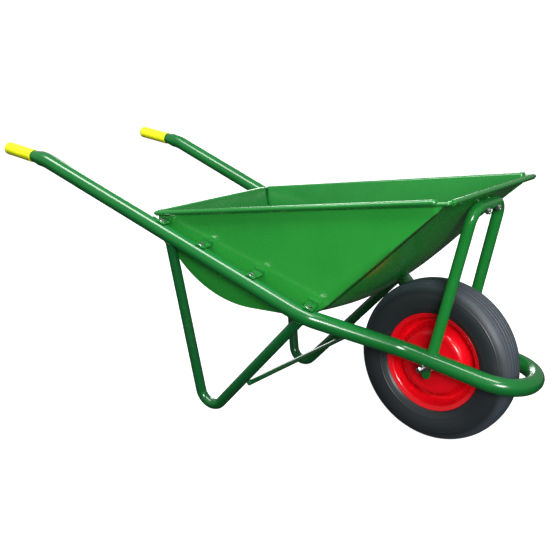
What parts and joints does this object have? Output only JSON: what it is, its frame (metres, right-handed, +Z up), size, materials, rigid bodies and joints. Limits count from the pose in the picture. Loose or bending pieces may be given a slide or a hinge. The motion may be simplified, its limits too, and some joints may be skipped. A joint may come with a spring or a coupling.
{
  "type": "wheelbarrow",
  "caption": "Wheelbarrow with a welded sheet steel tray on one bent tube frame, V-shaped tube legs, push-on grips and a pneumatic wheel that turns on a fixed axle.",
  "frame": {"origin": "on the ground, under the middle of the overall box", "axes": "+X forward over the wheel, +Y to the barrow's left, +Z up"},
  "size_m": [1.3923, 0.5352, 0.6106],
  "materials": {
    "frame_paint": "gloss green enamel on steel tube",
    "tray_paint": "gloss green enamel on sheet steel",
    "zinc_plate": "bright zinc plate",
    "grip_vinyl": "soft satin yellow vinyl",
    "tyre_rubber": "satin black rubber",
    "butyl_rubber": "matt black butyl",
    "valve_brass": "plain turned brass",
    "cap_plastic": "matt black moulded plastic",
    "rim_paint": "gloss red enamel on pressed steel",
    "nylon": "natural moulded nylon"
  },
  "bodies": {
    "frame": {"main_frame_tube": "frame_paint", "leg_left": "frame_paint", "leg_right": "frame_paint", "leg_brace": "frame_paint", "front_hoop": "frame_paint", "axle_bracket_left": "frame_paint", "axle_bracket_right": "frame_paint", "rim_wire": "tray_paint", "tray_wrap_sheet": "tray_paint", "tray_side_left": "tray_paint", "tray_side_right": "tray_paint", "tray_bracket_left_1": "tray_paint", "tray_bracket_left_2": "tray_paint", "tray_bracket_left_3": "tray_paint", "tray_bracket_left_4": "tray_paint", "tray_bracket_right_1": "tray_paint", "tray_bracket_right_2": "tray_paint", "tray_bracket_right_3": "tray_paint", "tray_bracket_right_4": "tray_paint", "axle": "zinc_plate", "nose_bolt_left": "zinc_plate", "nose_bolt_right": "zinc_plate", "nose_nut_left": "zinc_plate", "nose_nut_right": "zinc_plate", "axle_spacer_left": "zinc_plate", "axle_spacer_right": "zinc_plate", "axle_washer_left": "zinc_plate", "axle_washer_right": "zinc_plate", "axle_nut_left": "zinc_plate", "axle_nut_right": "zinc_plate", "tray_screw_left_1": "zinc_plate", "tray_screw_left_2": "zinc_plate", "tray_screw_left_3": "zinc_plate", "tray_screw_left_4": "zinc_plate", "tray_screw_right_1": "zinc_plate", "tray_screw_right_2": "zinc_plate", "tray_screw_right_3": "zinc_plate", "tray_screw_right_4": "zinc_plate", "grip_left": "grip_vinyl", "grip_right": "grip_vinyl"},
    "wheel": {"tyre": "tyre_rubber", "inner_tube": "butyl_rubber", "valve_stem": "valve_brass", "valve_cap": "cap_plastic", "rim_half_left": "rim_paint", "rim_half_right": "rim_paint", "hub": "rim_paint", "hub_bush_left": "nylon", "hub_bush_right": "nylon"}
  },
  "joints": [
    {"name": "wheel_spin", "type": "hinge", "parent": "frame", "child": "wheel", "pos_m": [0.4572, 0, 0.185], "axis": [0, 1, 0], "continuous": true}
  ]
}
